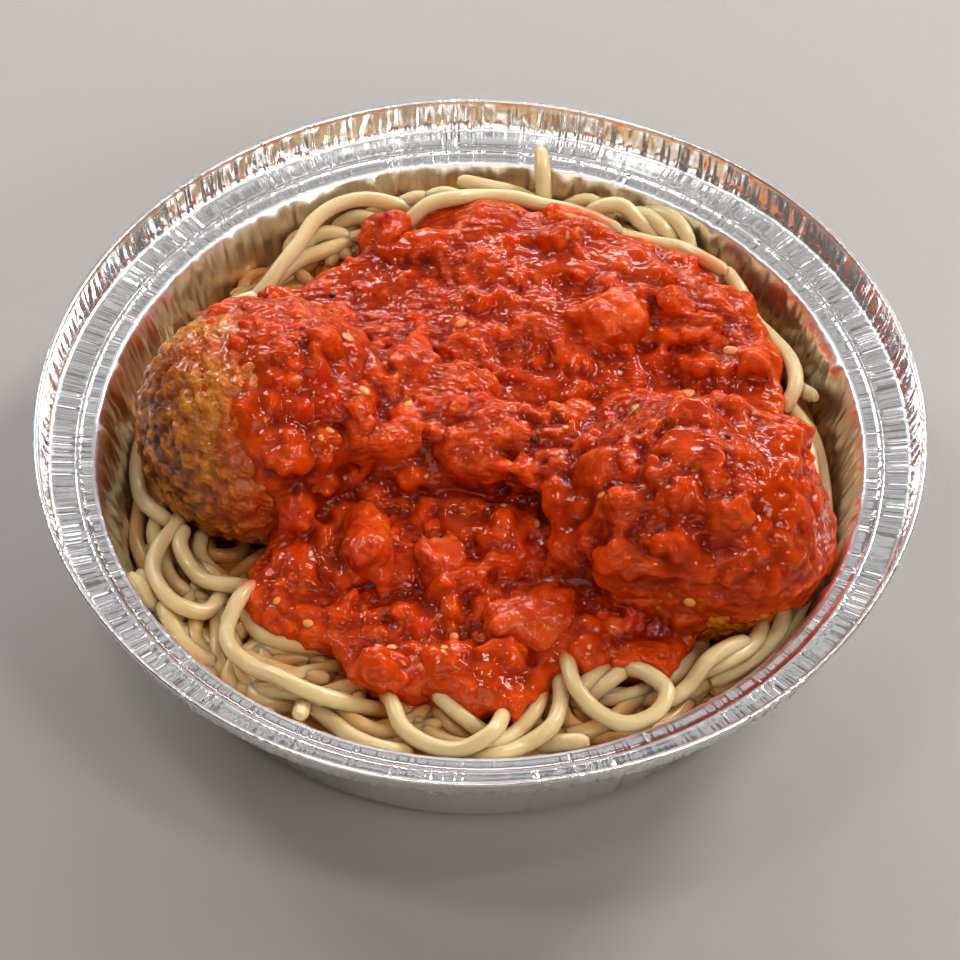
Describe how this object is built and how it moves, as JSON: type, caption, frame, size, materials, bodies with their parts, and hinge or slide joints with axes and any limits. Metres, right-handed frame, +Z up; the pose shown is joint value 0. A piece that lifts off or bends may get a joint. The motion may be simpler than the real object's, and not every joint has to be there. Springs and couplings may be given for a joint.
{
  "type": "foil tray meal",
  "caption": "Round foil take-out tray with a crimped flange and upright lip, filled with spaghetti, meatballs and chunky tomato sauce.",
  "frame": {"origin": "centre of the tray's flat underside, on the surface it stands on", "axes": "+Z up out of the tray, +Y to the back, +X to the right as seen from the front"},
  "size_m": [0.181, 0.181, 0.0615],
  "materials": {
    "foil": "bright pressed foil, finely crimped",
    "pasta": "moist cooked wheat pasta, pale cream",
    "meat": "browned minced meat, glazed with oil",
    "sauce": "wet chunky cooked tomato sauce",
    "tomato": "soft cooked diced tomato, glossy"
  },
  "bodies": {
    "root": {"foil_tray": "foil", "spaghetti": "pasta", "meatball_left": "meat", "meatball_right": "meat", "tomato_sauce": "sauce", "tomato_chunk_1": "tomato", "tomato_chunk_2": "tomato", "tomato_chunk_3": "tomato", "tomato_chunk_4": "tomato", "tomato_chunk_5": "tomato", "tomato_chunk_6": "tomato", "tomato_chunk_7": "tomato", "tomato_chunk_8": "tomato"}
  },
  "joints": []
}
